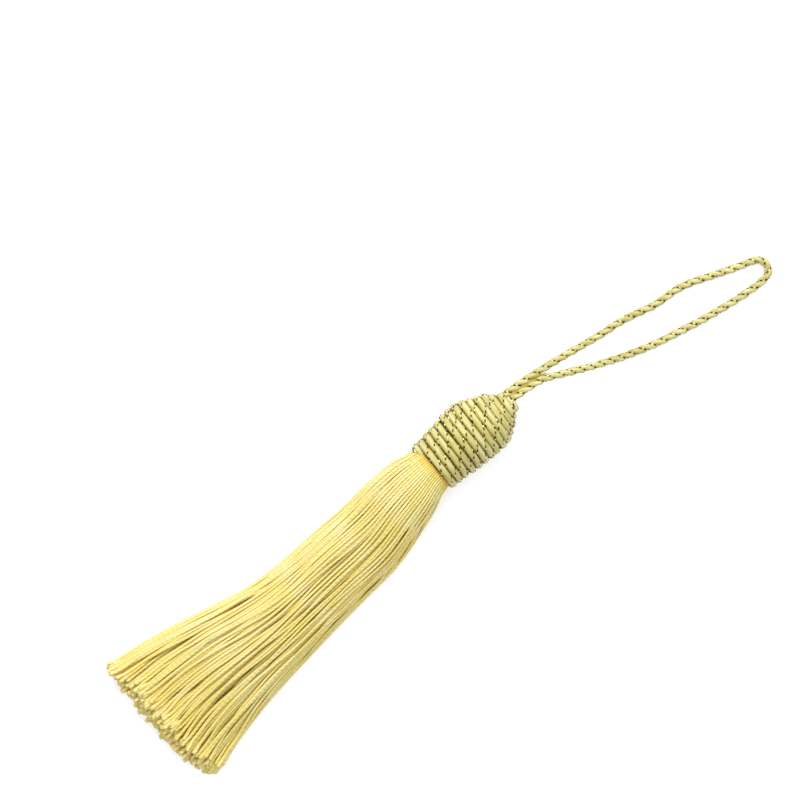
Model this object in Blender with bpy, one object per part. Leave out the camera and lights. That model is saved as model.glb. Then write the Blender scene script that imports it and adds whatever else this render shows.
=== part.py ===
"""A silk tassel lying on a table: a skirt of yarn strands, a head wound with cord, and a hanging loop.

Metres, +Z up. +X runs along the head's axis towards the loop, and the table is z = 0.
Distances in the tables are in millimetres, measured from the neck face, where the skirt meets the head.
"""

import math

import bmesh
import bpy
import numpy as np
from mathutils import Vector
from mathutils.geometry import delaunay_2d_cdt

MM = 0.001

# The middle of the neck face. The head and skirt are centred on the origin, and the head's axis is level.
NECK_X = 29.5
AXIS_Y = 1.45
AXIS_Z = 7.3

SEAT_GAP = 0.3

# Cord: two plies twisted to the right, used for the winding and for the loop.
CORD_DIAMETER = 1.9
CORD_LEAD = 5.06
PLY_GROOVE_SHARE = 0.26

# Head: cord wound to the left, neck to top. The radius is measured to the crests of the turns.
HEAD_COLUMNS = ("station", "crest_radius")
HEAD_PROFILE = (
    (0.0, 6.15),
    (3.5, 6.55),
    (7.0, 6.95),
    (10.5, 7.42),
    (13.0, 7.57),
    (15.3, 7.26),
    (17.5, 6.50),
    (19.7, 5.22),
    (21.9, 3.45),
    (23.6, 2.35),
)
WINDING_TURNS = 14
ROWS_PER_TURN = 4
COLUMNS_ROUND = 28
WINDING_START_DEG = -100.0
TURN_GROOVE_DEPTH = 0.6
TURN_SHOULDER_DEPTH = 0.13
HEAD_BASE_RADIUS = 5.5
HEAD_TOP_RADIUS = 2.0

# Skirt: a row for each section, with its two edges, its height, and how far it has settled on the table.
SKIRT_COLUMNS = ("distance", "low_edge", "high_edge", "height", "settled")
SKIRT_SECTIONS = (
    (1.2, -5.5, 5.6, 10.8, 0.00),
    (5.0, -7.2, 6.8, 11.7, 0.30),
    (11.0, -9.0, 7.0, 11.7, 0.78),
    (19.0, -10.9, 6.6, 11.0, 1.00),
    (31.0, -11.9, 6.6, 10.0, 1.00),
    (46.0, -13.2, 7.0, 9.0, 1.00),
    (63.0, -15.2, 11.1, 8.3, 1.00),
    (81.8, -18.4, 15.3, 7.6, 1.00),
)
STRAND_RINGS = 8
STRAND_RING_MARGIN = 0.15
STRAND_SIDES = 3
STRAND_ROOT_RADIUS = 0.32
STRAND_RADIUS = 0.41
STRAND_BENDS = (1.2, 6.5, 13.5, 26.0, 49.0, 81.8)
STRAND_END_SPREAD = 0.8
STRAND_EDGE_SHORTER = 2.0
SEED = 7

# The strands are spread by pushing close neighbours apart, a little at a time.
SECTIONS_PER_BEND = 5
SETTLING_STEPS = 80
SETTLING_SHARE = 0.93
SETTLING_PUSH = 0.4
CROSSING_STEPS = 60
CROSSING_SHARES = (0.25, 0.5, 0.75, 1.0)
CROSSING_PUSH = 0.2
SECTION_EDGE = 0.985
MERGE_DISTANCE = 1e-7

# How finely a curve is read where its length is measured.
CURVE_STEPS = 2000

NECK_PLUG_RADIUS = 5.8
NECK_PLUG_CORNERS = 36

# Loop: the cord's middle line seen from above, from the head, round the far bend and back.
LOOP_ROUTE = (
    (23.9, 1.1),
    (26.3, 1.2),
    (28.6, 1.3),
    (30.8, 1.1),
    (33.0, 0.7),
    (35.2, 0.1),
    (39.6, -0.8),
    (44.0, -1.7),
    (48.4, -2.5),
    (52.8, -3.1),
    (57.2, -4.2),
    (60.5, -5.2),
    (63.8, -5.7),
    (67.1, -6.0),
    (70.4, -6.9),
    (74.8, -8.7),
    (79.2, -10.7),
    (82.8, -12.1),
    (85.1, -13.3),
    (86.0, -14.9),
    (85.3, -16.4),
    (83.2, -17.1),
    (79.2, -16.8),
    (74.8, -16.3),
    (70.4, -15.5),
    (66.0, -14.6),
    (61.6, -13.5),
    (57.2, -12.4),
    (52.8, -11.0),
    (48.4, -9.4),
    (44.0, -7.5),
    (39.6, -5.4),
    (35.2, -3.2),
    (33.0, -2.1),
    (30.8, -1.4),
    (28.6, -1.1),
    (26.3, -1.1),
    (23.9, -1.1),
)
LOOP_STRAIGHT = 2.0
LOOP_DROP = 27.0
LOOP_STEPS_PER_LEAD = 6
# The corners of one ply's half of the cord's section: degrees round it, and share of the groove's depth.
PLY_CORNERS = ((0, 0.0), (48, 0.16), (90, 1.0), (132, 0.16))

YARN_COLOUR = (0.89, 0.76, 0.36, 1.0)
CORD_COLOUR = (0.84, 0.77, 0.40, 1.0)


def column(table, names, name):
    """One named column of a table, as an array."""
    return np.array([row[names.index(name)] for row in table], float)


def smooth_through(stations, values, at):
    """A smooth curve through a table's points: cubics that take their slopes from the neighbours."""
    at = np.asarray(at, float)
    slopes = np.gradient(values, stations)
    i = np.clip(np.searchsorted(stations, at, side="right") - 1, 0, len(stations) - 2)
    span = stations[i + 1] - stations[i]
    t = (at - stations[i]) / span
    return (
        (2 * t**3 - 3 * t**2 + 1) * values[i]
        + (t**3 - 2 * t**2 + t) * span * slopes[i]
        + (3 * t**2 - 2 * t**3) * values[i + 1]
        + (t**3 - t**2) * span * slopes[i + 1]
    )


def smoothstep(t):
    t = np.clip(t, 0.0, 1.0)
    return t * t * (3 - 2 * t)


def in_frame(points):
    """Points measured from the neck face, in millimetres, as points of the tassel's frame, in metres."""
    return (np.asarray(points, float) + (NECK_X, AXIS_Y, 0.0)) * MM


def silk(name, colour, roughness):
    """A dyed, lightly glossy yarn."""
    material = bpy.data.materials.new(name)
    material.use_nodes = True
    shader = material.node_tree.nodes["Principled BSDF"]
    shader.inputs["Base Color"].default_value = colour
    shader.inputs["Roughness"].default_value = roughness
    shader.inputs["Metallic"].default_value = 0.0
    return material


def solid(name, points, faces, material, on_table=False):
    """An object from points in millimetres and their faces; on_table cuts it flat at the table."""
    mesh = bpy.data.meshes.new(name)
    mesh.from_pydata([tuple(p) for p in in_frame(points)], [], faces)
    body = bmesh.new()
    body.from_mesh(mesh)
    if on_table:
        everything = body.verts[:] + body.edges[:] + body.faces[:]
        bmesh.ops.bisect_plane(
            body, geom=everything, plane_co=(0, 0, 0), plane_no=(0, 0, -1), clear_outer=True
        )
        open_edges = [edge for edge in body.edges if edge.is_boundary]
        bmesh.ops.holes_fill(body, edges=open_edges)
    bmesh.ops.recalc_face_normals(body, faces=body.faces[:])
    body.to_mesh(mesh)
    body.free()
    mesh.materials.append(material)
    obj = bpy.data.objects.new(name, mesh)
    bpy.context.scene.collection.objects.link(obj)
    return obj


def head_surface():
    """The head's outline: a function from length along it and depth below it to station and radius."""
    stations = column(HEAD_PROFILE, HEAD_COLUMNS, "station")
    radii = column(HEAD_PROFILE, HEAD_COLUMNS, "crest_radius")
    fine = np.linspace(stations[0], stations[-1], CURVE_STEPS)
    outline = np.stack([fine, smooth_through(stations, radii, fine)], axis=1)
    steps = np.linalg.norm(np.diff(outline, axis=0), axis=1)
    along = np.concatenate([[0.0], np.cumsum(steps)])
    slope = np.gradient(outline, along, axis=0)

    def place(length, depth):
        x, r, slope_x, slope_r = (
            np.interp(length, along, values) for values in (*outline.T, *slope.T)
        )
        return x + depth * slope_r, r - depth * slope_x

    return place, along[-1]


def head_winding(material):
    """The head: one ribbed form whose rows follow the wound cord, closed by a flat base and a flat top.

    A point is named by its row along the head and its column round it. Once round, row j of the last column
    meets row j + ROWS_PER_TURN of the first, so each end of the winding stops at a small step in column 0.
    """
    place, length = head_surface()
    pitch = length / WINDING_TURNS
    last_row = ROWS_PER_TURN * (WINDING_TURNS - 1)
    depths = (TURN_GROOVE_DEPTH, TURN_SHOULDER_DEPTH, 0.0, TURN_SHOULDER_DEPTH)
    points, index = [], {}

    def add(key, x, radius, turned):
        angle = math.radians(WINDING_START_DEG) - 2 * math.pi * turned
        index[key] = len(points)
        points.append((x, radius * math.cos(angle), AXIS_Z + radius * math.sin(angle)))

    for i in range(COLUMNS_ROUND):
        turned = i / COLUMNS_ROUND
        rows = last_row + 1 + (ROWS_PER_TURN if i == 0 else 0)
        for j in range(rows):
            x, radius = place((j / ROWS_PER_TURN + turned) * pitch, depths[j % ROWS_PER_TURN])
            add((j, i), x, radius, turned)
        add(("base", i), 0.0, HEAD_BASE_RADIUS, turned)
        add(("top", i), HEAD_PROFILE[-1][0], HEAD_TOP_RADIUS, turned)

    faces = []
    for i in range(COLUMNS_ROUND):
        closes = i == COLUMNS_ROUND - 1
        after, lift = (0, ROWS_PER_TURN) if closes else (i + 1, 0)
        for j in range(last_row):
            faces.append(((j, i), (j + lift, after), (j + lift + 1, after), (j + 1, i)))
        base_step = ((0, 0),) if closes else ()
        top_step = ((last_row, 0),) if closes else ()
        faces.append((("base", i), ("base", after), *base_step, (lift, after), (0, i)))
        faces.append((("top", i), (last_row, i), (last_row + lift, after), *top_step, ("top", after)))
    for first in (0, last_row):
        faces.append(tuple((first + k, 0) for k in range(ROWS_PER_TURN + 1)))
    for end in ("base", "top"):
        faces.append(tuple((end, i) for i in range(COLUMNS_ROUND)))
    named = [tuple(index[key] for key in face) for face in faces]
    return solid("head_winding", points, named, material, on_table=True)


def skirt_section(distance):
    """The skirt's section at a distance from the neck face: an arch that settles on the table.

    Gives two functions, one from shares of the section's width (-1 to 1) and height (0 to 1) to (y, z) places
    and one back, and the section's area.
    """
    distances = column(SKIRT_SECTIONS, SKIRT_COLUMNS, "distance")
    low, high, height, settled = (
        float(smooth_through(distances, column(SKIRT_SECTIONS, SKIRT_COLUMNS, name), distance))
        for name in SKIRT_COLUMNS[1:]
    )
    settled = min(settled, 1.0)
    strand_width = STRAND_RADIUS * math.sqrt(3)
    middle, half = (low + high) / 2, (high - low - strand_width) / 2

    def to_places(shares):
        arch = np.sqrt(1 - shares[:, 0] ** 2)
        bottom = (1 - settled) * (AXIS_Z - height / 2 * arch) + settled * STRAND_RADIUS / 2
        return np.stack([middle + half * shares[:, 0], bottom + height * arch * shares[:, 1]], axis=1)

    def to_shares(places):
        across = np.clip((places[:, 0] - middle) / half, -SECTION_EDGE, SECTION_EDGE)
        bottom = to_places(np.column_stack([across, np.zeros_like(across)]))[:, 1]
        top = to_places(np.column_stack([across, np.ones_like(across)]))[:, 1]
        return np.column_stack([across, np.clip((places[:, 1] - bottom) / (top - bottom), 0.0, 1.0)])

    return to_places, to_shares, math.pi * half * height / 2


def ring_lattice():
    """Where the strands stand in a round bundle of radius 1: one in the middle, then rings of 6, 12 and on."""
    found = [(0.0, 0.0)]
    for ring in range(1, STRAND_RINGS + 1):
        reach = ring / (STRAND_RINGS + STRAND_RING_MARGIN)
        for k in range(6 * ring):
            angle = 2 * math.pi * (k + 0.5 * (ring % 2)) / (6 * ring)
            found.append((reach * math.cos(angle), reach * math.sin(angle)))
    return np.array(found)


def crowding(places, spacing):
    """How far each strand of one section is pushed by those that lie nearer to it than the spacing."""
    apart = places[:, None] - places[None]
    distance = np.linalg.norm(apart, axis=2) + np.eye(len(places)) * spacing * 2 + MERGE_DISTANCE
    push = np.clip(spacing - distance, 0.0, None) / distance
    return (apart * push[:, :, None]).sum(axis=1)


def strand_places():
    """Each strand's middle at each bend: an array of bends by strands by (x, y, z).

    The even rings at the neck are carried from section to section and pushed apart at each. The bends are
    then pushed once more, by what crowds at them and between them, so that no strand crosses another.
    """
    lattice = ring_lattice()
    count = len(lattice)
    arch = np.sqrt(1 - lattice[:, 0] ** 2)
    shares = np.column_stack([lattice[:, 0], (lattice[:, 1] / arch + 1) / 2])
    last_bend = len(STRAND_BENDS) - 1
    steps = np.linspace(0, last_bend, SECTIONS_PER_BEND * last_bend + 1)
    sections = [skirt_section(d) for d in np.interp(steps, range(last_bend + 1), STRAND_BENDS)]
    spacing = [SETTLING_SHARE * math.sqrt(area / count * 2 / math.sqrt(3)) for _, _, area in sections]
    courses = [sections[0][0](shares)]
    for (to_places, to_shares, _), room in zip(sections[1:], spacing[1:]):
        for _ in range(SETTLING_STEPS):
            places = to_places(shares)
            shares = to_shares(places + SETTLING_PUSH * crowding(places, room))
        courses.append(to_places(shares))

    settled = np.array(courses[::SECTIONS_PER_BEND])
    sections, spacing = sections[::SECTIONS_PER_BEND], spacing[::SECTIONS_PER_BEND]
    for _ in range(CROSSING_STEPS):
        push = np.zeros_like(settled)
        for b in range(len(sections) - 1):
            for share in CROSSING_SHARES:
                between = (1 - share) * settled[b] + share * settled[b + 1]
                crowded = crowding(between, (1 - share) * spacing[b] + share * spacing[b + 1])
                push[b] += (1 - share) * crowded
                push[b + 1] += share * crowded
        for b, (to_places, to_shares, _) in enumerate(sections[1:], 1):
            settled[b] = to_places(to_shares(settled[b] + CROSSING_PUSH * push[b]))
    bends = np.empty((len(sections), count, 3))
    bends[:, :, 0] = -np.array(STRAND_BENDS)[:, None]
    bends[:, :, 1:] = settled

    # The cut ends are uneven, and the strands at the skirt's two edges end a little sooner.
    uneven = np.random.default_rng(SEED).uniform(0, 2 * STRAND_END_SPREAD, count)
    bends[-1, :, 0] += uneven + STRAND_EDGE_SHORTER * lattice[:, 0] ** 2 - STRAND_END_SPREAD
    return bends


def tassel_skirt(material):
    """The strands, fused at their roots into a thin neck plug: the yarn where it is bound together."""
    bends = strand_places()
    bend_count, count = bends.shape[:2]
    corner_angles = [math.pi / 2 + 2 * math.pi * k / STRAND_SIDES for k in range(STRAND_SIDES)]
    corners = np.array([(0.0, math.cos(a), math.sin(a)) for a in corner_angles])
    radii = np.full((bend_count, 1, 1, 1), STRAND_RADIUS)
    radii[0] = STRAND_ROOT_RADIUS
    rings = bends[:, :, None] + radii * corners
    points = [tuple(p) for p in rings.reshape(-1, 3)]

    def at(bend, strand, side):
        return (bend * count + strand) * STRAND_SIDES + side % STRAND_SIDES

    faces = []
    for strand in range(count):
        for bend in range(bend_count - 1):
            for side in range(STRAND_SIDES):
                faces.append((at(bend, strand, side), at(bend, strand, side + 1),
                              at(bend + 1, strand, side + 1), at(bend + 1, strand, side)))
        faces.append(tuple(at(bend_count - 1, strand, side) for side in range(STRAND_SIDES)))

    # The plug's front face is one flat sheet of triangles, left open where each strand grows out of it.
    roots = count * STRAND_SIDES
    rim_angles = [2 * math.pi * k / NECK_PLUG_CORNERS for k in range(NECK_PLUG_CORNERS)]
    rim = [(NECK_PLUG_RADIUS * math.cos(a), AXIS_Z + NECK_PLUG_RADIUS * math.sin(a)) for a in rim_angles]
    flat = [Vector((y, z)) for _, y, z in points[:roots]] + [Vector(p) for p in rim]
    outlines = [[at(0, strand, side) for side in range(STRAND_SIDES)] for strand in range(count)]
    _, _, triangles, sources, _, _ = delaunay_2d_cdt(flat, [], outlines, 0, MERGE_DISTANCE)
    front, back = len(points), len(points) + NECK_PLUG_CORNERS
    points += [(-STRAND_BENDS[0], y, z) for y, z in rim]
    points += [(-SEAT_GAP, y, z) for y, z in rim]
    for triangle in triangles:
        named = [sources[k][0] for k in triangle]
        inside_a_root = max(named) < roots and len({k // STRAND_SIDES for k in named}) == 1
        if not inside_a_root:
            faces.append(tuple(k if k < roots else front + k - roots for k in named))
    for k in range(NECK_PLUG_CORNERS):
        after = (k + 1) % NECK_PLUG_CORNERS
        faces.append((front + k, front + after, back + after, back + k))
    faces.append(tuple(back + k for k in range(NECK_PLUG_CORNERS)))
    return solid("tassel_skirt", points, faces, material)


def loop_line(step):
    """The loop's middle line: a smooth curve through its route that drops from the head to the table."""
    route = np.array(LOOP_ROUTE)
    leave = route[0, 0]
    lying = CORD_DIAMETER / 2
    drop = smoothstep((route[:, 0] - leave - LOOP_STRAIGHT) / LOOP_DROP)
    route = np.column_stack([route, AXIS_Z + (lying - AXIS_Z) * drop])
    along = np.concatenate([[0.0], np.cumsum(np.linalg.norm(np.diff(route, axis=0), axis=1))])
    fine = np.linspace(0.0, along[-1], CURVE_STEPS)
    curve = np.column_stack([smooth_through(along, route[:, k], fine) for k in range(3)])
    curve[:, 2] = np.maximum(curve[:, 2], lying)
    length = np.concatenate([[0.0], np.cumsum(np.linalg.norm(np.diff(curve, axis=0), axis=1))])
    at = np.linspace(0.0, length[-1], round(length[-1] / step) + 1)
    return np.column_stack([np.interp(at, length, curve[:, k]) for k in range(3)]), at


def hanging_loop(material):
    """The loop: the cord's grooved section carried along its line and turned by the twist as it goes."""
    line, along = loop_line(CORD_LEAD / LOOP_STEPS_PER_LEAD)
    section = [
        (math.radians(ply_start + turn), CORD_DIAMETER / 2 * (1 - PLY_GROOVE_SHARE * depth))
        for ply_start in (0, 180)
        for turn, depth in PLY_CORNERS
    ]
    tangents = np.gradient(line, axis=0)
    tangents[:2] = (1.0, 0.0, 0.0)
    tangents[-2:] = (-1.0, 0.0, 0.0)
    side = Vector((0.0, 0.0, 1.0))
    points = []
    for middle, tangent, distance in zip(line, tangents, along):
        tangent = Vector(tangent).normalized()
        side = (side - tangent * side.dot(tangent)).normalized()
        other = tangent.cross(side)
        twist = 2 * math.pi * distance / CORD_LEAD
        for angle, reach in section:
            a = angle + twist
            points.append(Vector(middle) + reach * (math.cos(a) * side + math.sin(a) * other))
    sides, rings = len(section), len(line)

    def at(ring, k):
        return ring * sides + k % sides

    faces = [
        (at(ring, k), at(ring, k + 1), at(ring + 1, k + 1), at(ring + 1, k))
        for ring in range(rings - 1)
        for k in range(sides)
    ]
    for ring in (0, rings - 1):
        faces.append(tuple(at(ring, k) for k in range(sides)))
    return solid("hanging_loop", points, faces, material)


def main():
    for obj in list(bpy.data.objects):
        bpy.data.objects.remove(obj)
    tassel_skirt(silk("skirt_yarn", YARN_COLOUR, 0.45))
    head_winding(silk("head_cord", CORD_COLOUR, 0.4))
    hanging_loop(silk("loop_cord", CORD_COLOUR, 0.4))


main()
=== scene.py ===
"""The looks of a silk tassel: a skirt of twisted floss, a head wound with cord, and a hanging loop.

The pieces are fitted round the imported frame, in metres. +X runs along the head towards the loop, and the
table is z = 0. The tables are in millimetres, measured from the neck face, as in the part's source.
"""

import math

import bpy
import numpy as np
from bpy.props import FloatProperty, FloatVectorProperty, IntProperty, PointerProperty
from bpy.types import Operator, Panel, PropertyGroup
from mathutils import Matrix, Vector


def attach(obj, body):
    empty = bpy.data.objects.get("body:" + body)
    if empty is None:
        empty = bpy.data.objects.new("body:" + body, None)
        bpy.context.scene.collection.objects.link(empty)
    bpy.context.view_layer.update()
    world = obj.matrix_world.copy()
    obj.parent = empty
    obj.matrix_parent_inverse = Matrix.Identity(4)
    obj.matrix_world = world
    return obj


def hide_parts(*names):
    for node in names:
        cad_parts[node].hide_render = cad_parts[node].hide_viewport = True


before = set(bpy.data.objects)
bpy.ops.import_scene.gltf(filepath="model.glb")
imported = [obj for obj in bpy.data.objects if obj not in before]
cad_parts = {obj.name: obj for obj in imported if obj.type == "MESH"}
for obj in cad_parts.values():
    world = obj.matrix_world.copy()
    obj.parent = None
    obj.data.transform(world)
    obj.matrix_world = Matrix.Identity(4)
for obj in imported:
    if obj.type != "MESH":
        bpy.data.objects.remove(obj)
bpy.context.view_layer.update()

bl_info = {
    "name": "Silk Tassel",
    "version": (1, 0, 0),
    "blender": (4, 5, 0),
    "location": "3D View > Sidebar > Tassel",
    "description": "Makes the yarn, the cord and the stage of a silk tassel lying on a table",
    "category": "Add Mesh",
}

MM = 0.001

# The middle of the neck face over the table, and the height of the head's axis.
NECK = np.array((29.5, 1.45, 0.0))
AXIS_Z = 7.3

# The photograph's framing: what its middle looks at, how it is turned, and the width that it takes in at
# SPAN_HEIGHT over the table. LENS and SENSOR make it a long view, with little perspective.
PHOTO_MIDDLE = (34.13, 17.16)
PHOTO_TURN_DEG = -41.2
PHOTO_SPAN = 176.66
SPAN_HEIGHT = 6.0
LENS = 100.0
SENSOR = 36.0

# Head: the radius is measured to the crests of the turns, and the winding starts that far round from +Y.
HEAD_STATIONS = (0.0, 3.5, 7.0, 10.5, 13.0, 15.3, 17.5, 19.7, 21.9, 23.6)
HEAD_CREST_RADII = (6.15, 6.70, 7.08, 7.42, 7.48, 7.08, 6.36, 5.08, 3.40, 2.35)
WINDING_START_TURNS = -100.0 / 360.0

# Skirt: distance from the neck, the two edges, the height, and how far the section has settled on the table.
SKIRT_SECTIONS = np.array(
    (
        (0.0, -5.6, 6.0, 10.8, 0.00),
        (1.2, -5.8, 6.1, 10.9, 0.00),
        (5.0, -7.5, 6.95, 11.7, 0.30),
        (11.0, -9.35, 7.2, 11.7, 0.78),
        (19.0, -11.5, 6.7, 11.0, 1.00),
        (31.0, -12.5, 6.6, 10.0, 1.00),
        (46.0, -13.8, 7.0, 9.0, 1.00),
        (63.0, -15.85, 11.0, 8.3, 1.00),
        (73.6, -18.1, 13.3, 7.9, 1.00),
        (78.0, -19.5, 14.0, 7.7, 1.00),
        (88.0, -21.2, 15.9, 7.4, 1.00),
    )
)

# The skirt's main partings: the distances between which each is open, its share of the width at both, and
# how far it opens.
PARTINGS = np.array(
    (
        (0.5, 9.0, 0.05, 0.20, 1.1),
        (4.0, 14.0, 0.64, 0.74, 0.65),
        (9.0, 18.0, 0.03, 0.24, 0.5),
        (4.0, 12.5, -0.28, -0.07, 0.55),
        (10.0, 24.0, -0.62, -0.49, 1.1),
        (12.0, 25.0, 0.52, 0.68, 0.7),
        (25.0, 42.0, -0.19, 0.04, 1.3),
        (28.0, 44.0, -0.42, -0.18, 1.0),
        (38.0, 49.0, -0.47, -0.32, 0.9),
        (41.0, 55.0, 0.00, 0.12, 1.1),
        (25.0, 39.0, 0.77, 0.78, 0.7),
        (46.0, 56.0, 0.77, 0.73, 0.8),
        (67.0, 80.0, 0.00, 0.12, 0.8),
        (72.0, 79.0, 0.13, 0.19, 0.7),
        (70.0, 79.0, -0.21, -0.09, 0.6),
        (65.0, 76.0, 0.70, 0.75, 0.6),
        (67.0, 75.0, 0.42, 0.54, 0.65),
        (62.0, 71.0, -0.37, -0.32, 1.0),
        (73.0, 81.0, -0.58, -0.58, 1.0),
        (66.0, 74.0, -0.70, -0.65, 0.9),
    )
)

# Loop: the cord's middle line seen from above, from the head, round the far bend and back. It stays level for
# LOOP_STRAIGHT, comes down to the table over LOOP_DROP, and its ends are LOOP_SUNK inside the head.
LOOP_ROUTE = (
    (23.9, 1.75), (26.3, 1.42), (28.6, 1.10), (30.8, 0.80), (33.0, 0.45), (35.2, 0.05), (39.6, -0.8),
    (44.0, -1.7), (48.4, -2.5), (52.8, -3.1), (57.2, -4.2), (60.5, -5.2), (63.8, -5.7), (67.1, -6.0),
    (70.4, -6.9), (74.8, -8.7), (79.2, -10.55), (82.4, -11.75), (84.3, -12.45), (85.65, -13.45),
    (86.05, -14.75), (85.65, -16.05), (84.55, -16.9), (82.8, -17.15), (79.2, -16.9), (74.8, -16.3),
    (70.4, -15.5), (66.0, -14.6), (61.6, -13.5), (57.2, -12.4), (52.8, -11.0), (48.4, -9.4), (44.0, -7.5),
    (39.6, -5.4), (35.2, -3.1), (33.0, -1.95), (30.8, -1.13), (28.6, -0.68), (26.3, -0.36), (23.9, -0.02),
)
LOOP_STRAIGHT = 2.0
LOOP_DROP = 27.0
LOOP_SUNK = 1.2

# The end of the head's own yarn, which shows between the loop's legs: where it starts and stops along the
# head's axis, its radius, and how far it lies under the legs' middle lines.
CORE_END = (22.0, 33.0)
CORE_END_RADIUS = 0.62
CORE_END_SUNK = 0.15
CORE_END_STEPS, CORE_END_SIDES = 40, 10
CORE_STEPS, CORE_SIDES = 60, 48

# The corners of one ply's half of the cord's section, in degrees from its crest.
PLY_CORNERS_DEG = (-82, -72, -60, -44, -22, 0, 22, 44, 60, 72, 82, 90)
CORD_STEPS_PER_LEAD = 24
THREAD_SIDES = 6

YARN_SIDES = 8
YARN_STEPS = 76
YARN_ROOT = -1.9

# The distances from the neck at which the yarns are set side by side, the number of finer sections drawn
# through them, and the one that the bands of tone are taken at.
SKIRT_STATIONS = np.concatenate([np.linspace(0.0, 12.0, 7), np.linspace(15.0, 88.0, 23)])
SKIRT_SECTION_COUNT = 89
BANDS_SECTION = 45

# The share of an even spacing that neighbours are pushed apart to, and the rounds of pushing at the neck
# and at each later station.
PACKING = 0.95
FIRST_ROUNDS, LATER_ROUNDS = 60, 30

# A slit's half width, and how far a yarn beside the middle of one of strength 1 moves aside and down.
SLIT_WIDTH = 0.55
SLIT_ASIDE = 0.24
SLIT_SINK = 0.36

# The reach of the middle yarns, where the cut's bow is measured, and the spread of the yarns' ends.
CUT_REACH = 83.7
CUT_SECTION = 80.0
CUT_UNEVEN = 0.5
CUT_UNEVEN_MOST = 1.1

# The depth of the relief that the materials give: a cord's filaments, and a yarn's two plies.
FILAMENT_DEPTH = 0.04
PLY_DEPTH = 0.08

FULL_TURN = 2 * math.pi
CURVE_STEPS = 3000


def smoothstep(t):
    """0 up to 0, 1 from 1, and 3t^2 - 2t^3 between."""
    t = np.clip(t, 0.0, 1.0)
    return t * t * (3 - 2 * t)


def cubic(t, span, value, slope, next_value, next_slope):
    """The cubic between two values with given slopes, where t goes from 0 to 1 over the span."""
    return (
        (2 * t**3 - 3 * t**2 + 1) * value
        + (t**3 - 2 * t**2 + t) * span * slope
        + (3 * t**2 - 2 * t**3) * next_value
        + (t**3 - t**2) * span * next_slope
    )


def smooth_through(stations, values, at):
    """A smooth curve through a table's points: cubics that take their slopes from the neighbours."""
    stations, values, at = (np.asarray(a, float) for a in (stations, values, at))
    slopes = np.gradient(values, stations, axis=0)
    i = np.clip(np.searchsorted(stations, at, side="right") - 1, 0, len(stations) - 2)
    extra = (1,) * (values.ndim - 1)
    span = (stations[i + 1] - stations[i]).reshape(at.shape + extra)
    t = (at - stations[i]).reshape(at.shape + extra) / span
    return cubic(t, span, values[i], slopes[i], values[i + 1], slopes[i + 1])


def lengths_along(line):
    """The length of a line of points up to each of them."""
    return np.concatenate([[0.0], np.cumsum(np.linalg.norm(np.diff(line, axis=0), axis=1))])


def evenly(line, step):
    """The line's points again, at equal steps along it, and their lengths along it."""
    along = lengths_along(line)
    at = np.linspace(0.0, along[-1], round(along[-1] / step) + 1)
    return np.column_stack([np.interp(at, along, line[:, k]) for k in range(line.shape[1])]), at


def unit(vectors):
    """The same directions, each one long."""
    return vectors / np.linalg.norm(vectors, axis=-1, keepdims=True)


def straight_up(line):
    """The direction up, at each point of a line."""
    return np.broadcast_to((0.0, 0.0, 1.0), line.shape)


def on_table(points):
    """The points with none under the table: z = max(z, 0)."""
    return np.concatenate([points[..., :2], np.maximum(points[..., 2:], 0.0)], axis=-1)


def round_shares(sides, shape):
    """The corners' equal shares of a turn, for rings in an array of that shape."""
    return np.broadcast_to(np.arange(sides) / sides, (*shape, sides))


def carried(path, outward, reach, turned):
    """A section carried along a path, as rings of points.

    point = path + reach * (cos(turned) * out + sin(turned) * beside), where out is the part of the outward
    direction that is square to the path, and beside is ahead x out, so an angle that grows along the path is
    a twist to the right. reach and turned hold a value for each corner of each ring, turned in whole turns.
    """
    ahead = unit(np.gradient(path, axis=-2))
    out = unit(outward - (outward * ahead).sum(-1, keepdims=True) * ahead)
    beside = np.cross(ahead, out)
    angle = FULL_TURN * turned[..., None]
    across = np.cos(angle) * out[..., None, :] + np.sin(angle) * beside[..., None, :]
    return path[..., None, :] + reach[..., None] * across


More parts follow.
